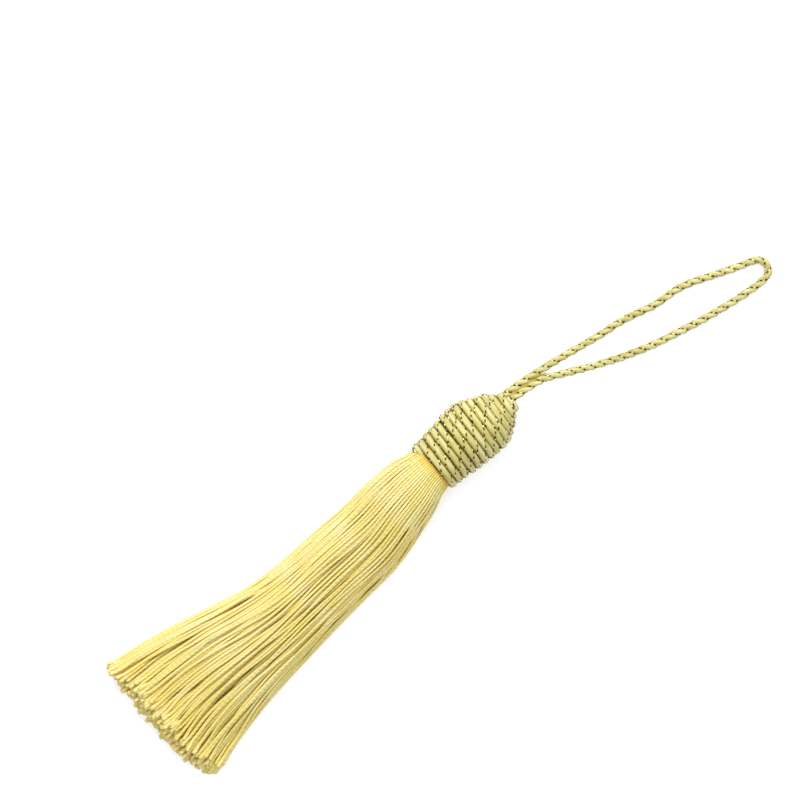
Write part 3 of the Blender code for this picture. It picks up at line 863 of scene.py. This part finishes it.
def parted(distances, places, heights, slits, random):
    """Opens the main partings and smaller ones: the upper yarns beside a slit move aside and sink a little.

    Each slit is a line y(distance) that opens smoothly from its start to its middle and closes again. A yarn
    moves by strength * exp(-(gap / width)^2), down and to the side that it is on where the slit is widest.
    The smaller slits have random places, and are weaker towards +Y.
    """
    first = 2.0 + 72.0 * random.uniform(0.0, 1.0, slits) ** 1.2
    at_first = random.uniform(-0.95, 0.95, slits)
    small = np.column_stack([
        first,
        first + random.uniform(8.0, 24.0, slits),
        at_first,
        at_first + random.uniform(-0.1, 0.1, slits),
        random.uniform(0.3, 0.8, slits) * (1 - 0.45 * smoothstep(at_first / 0.6)),
    ])
    start, end, across_start, across_end, strength = np.concatenate([PARTINGS, small]).T
    share = (distances[:, None] - start) / (end - start)
    across = across_start + (across_end - across_start) * share
    strength = strength * smoothstep(1.6 * (1 - np.abs(2 * share - 1)))
    shape = SkirtShape(distances, 0.0)
    y = shape.middle[:, None] + shape.half[:, None] * across
    gap = places[:, :, None, 0] - y[:, None, :]
    widest = np.argmax(strength, axis=0)
    side = np.where(gap[widest, :, np.arange(len(widest))] > 0, 1.0, -1.0).T
    near = np.exp(-((gap / SLIT_WIDTH) ** 2)) * strength[:, None, :]
    outer = np.abs((places[..., 0] - shape.middle[:, None]) / shape.half[:, None])
    upper = smoothstep((heights - 0.35 + 0.12 * outer**4) / 0.4)[..., None]
    aside = (side * near * SLIT_ASIDE * upper).sum(-1)
    down = (near * SLIT_SINK * upper).sum(-1)
    return places + np.stack([aside, -down], axis=-1)


def lying_over(count, distances, radius, random):
    """Yarns that lie over the others and cross them at small angles, from the neck to the cut."""
    start = random.permutation(np.linspace(-0.86, 0.86, count))
    end = np.clip(start + random.uniform(-0.22, 0.22, count), -0.9, 0.9)
    share = smoothstep(distances / 84.0)[:, None]
    wave = 0.02 * np.sin(FULL_TURN * distances[:, None] / 31 + random.uniform(0, FULL_TURN, count))
    across = start + (end - start) * share + wave * smoothstep(distances / 20.0)[:, None]
    courses = []
    for distance, course in zip(distances, across):
        lift = radius * (0.2 + 0.8 * smoothstep(distance / 14.0))
        courses.append(SkirtShape(distance, radius).places(course, np.ones(count)) + (0.0, lift))
    return np.array(courses), np.ones((len(distances), count))


def yarn_lengths(places, heights, distances, random):
    """How far each yarn reaches: the cut bows out a little, and the yarns on top end sooner.

    reach = the middle's - corners * |across|^3 - 3 * height^2 + a random part. The corner on the -Y side is
    cut back more, and on the +Y side the top yarns end with the rest.
    """
    last = np.searchsorted(distances, CUT_SECTION)
    shape = SkirtShape(distances[last], 0.0)
    across = (places[last, :, 0] - shape.middle) / shape.half
    uneven = random.normal(0.0, CUT_UNEVEN, places.shape[1])
    corners = np.where(across > 0, 1.0, 2.5) * np.abs(across) ** 3
    upper = 3.0 * heights[last] ** 2 * (1 - 0.8 * smoothstep((across - 0.5) / 0.35))
    return CUT_REACH - corners - upper + np.clip(uneven, -CUT_UNEVEN_MOST, CUT_UNEVEN_MOST)


def yarn_tones(places, random):
    """Each yarn's tone, from 0 for pale: a random part, bands across the skirt, and painted light that makes
    it paler towards +Y, the key light's side, where it also weakens the painted shade of the yarns' sides.

    tone = random^1.4 + 0.25 * sin(13 s) * cos(5.3 s) - 0.3 * s, where s is y over 10 mm at one section.
    """
    s = places[BANDS_SECTION, :, 0] / 10.0
    # The - 0.3 * s part is painted light: paler towards +Y.
    bands = 0.25 * np.sin(13.0 * s) * np.cos(5.3 * s) - 0.3 * s
    return random.uniform(0.0, 1.0, places.shape[1]) ** 1.4 + bands


def on_course(courses, distances, reach):
    """Each yarn's place (y, z) at its own distances, on the smooth curves through its places at the sections.

    Under the winding, where the distance is below 0, the yarns draw in towards the axis.
    """
    at = np.clip(reach, 0.0, None)
    i = np.clip(np.searchsorted(distances, at, side="right") - 1, 0, len(distances) - 2)
    slopes = np.gradient(courses, distances, axis=0)
    yarn = np.arange(courses.shape[1])[:, None]
    span = (distances[i + 1] - distances[i])[..., None]
    t = (at - distances[i])[..., None] / span
    line = cubic(t, span, courses[i, yarn], slopes[i, yarn], courses[i + 1, yarn], slopes[i + 1, yarn])
    drawn_in = (1 - 0.14 * smoothstep(-reach / 1.6))[..., None]
    return (0.0, AXIS_Z) + (line - (0.0, AXIS_Z)) * drawn_in


def yarn_rings(courses, distances, lengths, skirt, random):
    """Rings for a set of yarns, with their distances, their shares of a turn and the length left to the cut.

    Each yarn follows its course from under the winding. It swells along the skirt, and its last 3 mm bend
    and flare by random amounts. The turn round it starts at the side that faces into the skirt.
    """
    share = 1 - (1 - np.linspace(0.0, 1.0, YARN_STEPS)) ** 1.25
    reach = YARN_ROOT + (lengths[:, None] - YARN_ROOT) * share
    line = on_course(courses, distances, reach)

    left = lengths[:, None] - reach
    bend = random.normal(0.0, 1.0, (len(lengths), 1, 2)) * (0.34, 0.24)
    line = line + bend * smoothstep(1 - left / 3.0)[..., None]
    swell = 0.84 + 0.16 * smoothstep(reach / 10.0) + 0.16 * smoothstep((reach - 45.0) / 35.0)
    flare = 1 + random.uniform(0.12, 0.42, (len(lengths), 1)) * smoothstep(1 - left / 2.2)
    cut = np.where(left < 0.05, 0.84, 1.0)
    thick = skirt.radius / MM * swell * flare * cut
    height = np.maximum(line[..., 1:], thick[..., None])
    path = np.concatenate([-reach[..., None], line[..., :1], height], axis=-1)
    turned = round_shares(YARN_SIDES, thick.shape)
    shape = SkirtShape(np.clip(reach, 0.0, None), 0.0)
    aside = np.clip((line[..., 0] - shape.middle) / shape.half, -1.0, 1.0)
    inward = np.stack([np.zeros_like(aside), -0.7 * aside * np.abs(aside), -np.ones_like(aside)], axis=-1)
    rings = carried(path, inward, np.broadcast_to(thick[..., None], turned.shape), turned)
    return on_table(rings), reach, turned, left


def yarn_marks(reach, left, tone, random):
    """Painted shade at the roots; a tone that drifts along each yarn, paler near the neck and the cut."""
    # Painted shade where the yarns come out from under the winding.
    root = 0.62 * smoothstep(1 - reach / 1.3)[..., None]
    phase = random.uniform(0.0, FULL_TURN, (len(tone), 1))
    drift_along = 0.22 * np.sin(reach / 11.0 + phase)
    # A lower tone also takes away some of the painted shade on the yarns' sides.
    paler = 0.6 * smoothstep(1 - left / 5.0) + 0.25 * smoothstep(1.2 - reach / 30.0)
    return {"painted_shade": root, "tone": np.clip(tone[:, None] + drift_along - paler, 0.0, 1.0)[..., None]}


# Operators


class TASSEL_OT_stage(Operator):
    """Make the table, the light and the camera"""

    bl_idname = "tassel.make_stage"
    bl_label = "Stage"

    def execute(self, context):
        stage = context.scene.tassel_stage
        half = stage.floor_size / 2
        mesh = bpy.data.meshes.new("table_top")
        corners = [(-half, -half, 0), (half, -half, 0), (half, half, 0), (-half, half, 0)]
        mesh.from_pydata(corners, [], [(0, 1, 2, 3)])
        mesh.materials.append(table_material(stage))
        floor = bpy.data.objects.new("table_top", mesh)
        context.scene.collection.objects.link(floor)

        world = bpy.data.worlds.new("soft_room")
        context.scene.world = world
        world.use_nodes = True
        room = world.node_tree.nodes["Background"].inputs
        room["Color"].default_value = (0.87, 0.93, 1.0, 1.0)
        room["Strength"].default_value = stage.sky

        aim = np.array((0.02, 0.0, 0.0))
        for name, power, size, offset in (
            ("key_light", stage.key_power, 0.4, (0.45, 0.6, 0.75)),
            ("fill_light", stage.fill_power, 1.2, (0.1, -0.1, 1.1)),
        ):
            lamp = bpy.data.lights.new(name, "AREA")
            lamp.shape, lamp.size, lamp.energy = "DISK", size, power
            light = bpy.data.objects.new(name, lamp)
            light.matrix_world = looking(aim + offset, aim)
            context.scene.collection.objects.link(light)

        lens = bpy.data.cameras.new("photo_view")
        lens.lens, lens.sensor_width = LENS, SENSOR
        lens.clip_start, lens.clip_end = 0.01, 10.0
        camera = bpy.data.objects.new("photo_view", lens)
        height = SPAN_HEIGHT + PHOTO_SPAN * LENS / SENSOR
        camera.location = (PHOTO_MIDDLE[0] * MM, PHOTO_MIDDLE[1] * MM, height * MM)
        camera.rotation_euler = (0.0, 0.0, math.radians(PHOTO_TURN_DEG))
        context.scene.collection.objects.link(camera)
        context.scene.camera = camera
        context.scene.view_settings.view_transform = "Standard"
        return {"FINISHED"}


def looking(place, aim):
    """The placing of a light that looks from a place to an aim."""
    turn = (Vector(aim) - Vector(place)).to_track_quat("-Z", "Y")
    return Matrix.Translation(Vector(place)) @ turn.to_matrix().to_4x4()


class TASSEL_OT_loop(Operator):
    """Make the hanging loop of cord"""

    bl_idname = "tassel.make_loop"
    bl_label = "Hanging loop"

    def execute(self, context):
        cord = context.scene.tassel_cord
        silk = silk_material("loop_silk", cord, filaments_round=18.0, filament_length=5.0)
        metal = thread_material(cord)
        # creased paints shade where the cord faces away from up, and grooved paints shade in its plies'
        # grooves.
        look = {
            "radius": cord.diameter / MM / 2, "lead": cord.lead / MM, "lobes": 0.34, "sway": 0.03,
            "creased": 0.3, "lean": 0.0, "grooved": 0.75,
            "thread_out": 0.7, "thread_sway": 0.1, "dashes": 6, "dash_drift": 0.2,
        }
        body, threads, line, length = cord_pieces(
            "loop_of_cord", loop_line(cord), straight_up, cord, look, silk, metal
        )
        for piece in (body, *threads):
            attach(piece, "root")
        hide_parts("hanging_loop")
        return {"FINISHED"}


class TASSEL_OT_head(Operator):
    """Make the head: the wound cord, its threads, the core under it and the core's loose end"""

    bl_idname = "tassel.make_head"
    bl_label = "Wound head"

    def execute(self, context):
        cord, head = context.scene.tassel_cord, context.scene.tassel_head
        silk = silk_material("winding_silk", cord, filaments_round=18.0, filament_length=4.0)
        metal = bpy.data.materials["black_and_gold_thread"]
        half = head.cord_diameter / MM / 2
        # creased paints shade in the creases between turns, lean moves it to one flank, and grooved paints
        # shade in the plies' grooves.
        look = {
            "radius": half, "lead": head.lead / MM, "lobes": 0.12, "sway": 0.06,
            "creased": 1.0, "lean": 0.25, "grooved": 0.3,
            "thread_out": 0.1, "thread_sway": 0.4, "dashes": 8, "dash_drift": 0.5,
        }
        body, threads, _, _ = cord_pieces(
            "head_cord_wound", winding_line(head.turns, half), out_of_axis, cord, look, silk, metal
        )
        outline, _ = head_outline(head.core_depth / MM)
        outline = outline[:: CURVE_STEPS // CORE_STEPS]
        # The core and its loose end are coloured with painted shade, as they lie in the shade of the turns
        # and legs.
        core = revolved("head_core_in_painted_shade", outline, CORE_SIDES, {"painted_shade": 0.6, "tone": 0.9}, silk)
        rings, along, turned = (values[None] for values in core_end(loop_line(cord)))
        tail = tubes("head_core_end_in_painted_shade", rings, along, turned, {"painted_shade": 0.5, "tone": 0.9}, silk)
        for piece in (body, core, tail, *threads):
            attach(piece, "root")
        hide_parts("head_winding")
        return {"FINISHED"}


class TASSEL_OT_skirt(Operator):
    """Make the skirt's yarns, in three pieces of mixed yarns"""

    bl_idname = "tassel.make_skirt"
    bl_label = "Skirt"

    def execute(self, context):
        skirt = context.scene.tassel_skirt
        random = np.random.default_rng(skirt.seed)
        floss = silk_material(
            "skirt_floss", skirt, filaments_round=14.0, filament_length=5.0, lead=skirt.lead / MM
        )
        radius = skirt.radius / MM
        distances, places, heights = yarn_places(skirt.yarns, radius, skirt.wander / MM, random)
        places = parted(distances, places, heights, skirt.slits, random)
        strays, tops = lying_over(skirt.strays, distances, radius, random)
        places = np.concatenate([places, strays], axis=1)
        heights = np.concatenate([heights, tops], axis=1)
        lengths = yarn_lengths(places, heights, distances, random)
        tone = yarn_tones(places, random)

        made = []
        for label, chosen in zip("abc", np.array_split(random.permutation(len(lengths)), 3)):
            courses = places[:, chosen]
            rings, reach, turned, left = yarn_rings(courses, distances, lengths[chosen], skirt, random)
            marks = yarn_marks(reach, left, tone[chosen], random)
            made.append(tubes(f"skirt_yarn_{label}", rings, reach, turned, marks, floss))
        for piece in made:
            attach(piece, "root")
        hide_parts("tassel_skirt")
        return {"FINISHED"}


class TASSEL_PT_panel(Panel):
    """The tassel's pieces, in the order in which they are made"""

    bl_label = "Silk Tassel"
    bl_idname = "TASSEL_PT_panel"
    bl_space_type = "VIEW_3D"
    bl_region_type = "UI"
    bl_category = "Tassel"

    def draw(self, context):
        for operator in OPERATORS:
            self.layout.operator(operator.bl_idname)


OPERATORS = (TASSEL_OT_stage, TASSEL_OT_loop, TASSEL_OT_head, TASSEL_OT_skirt)
SETTINGS = {
    "tassel_stage": TasselStageSettings,
    "tassel_cord": TasselCordSettings,
    "tassel_head": TasselHeadSettings,
    "tassel_skirt": TasselSkirtSettings,
}
CLASSES = (*SETTINGS.values(), *OPERATORS, TASSEL_PT_panel)


def register():
    for cls in CLASSES:
        bpy.utils.register_class(cls)
    for name, settings in SETTINGS.items():
        setattr(bpy.types.Scene, name, PointerProperty(type=settings))


def unregister():
    for name in SETTINGS:
        delattr(bpy.types.Scene, name)
    for cls in reversed(CLASSES):
        bpy.utils.unregister_class(cls)


def main():
    register()
    bpy.ops.tassel.make_stage()
    bpy.ops.tassel.make_loop()
    bpy.ops.tassel.make_head()
    bpy.ops.tassel.make_skirt()


if __name__ == "__main__":
    main()
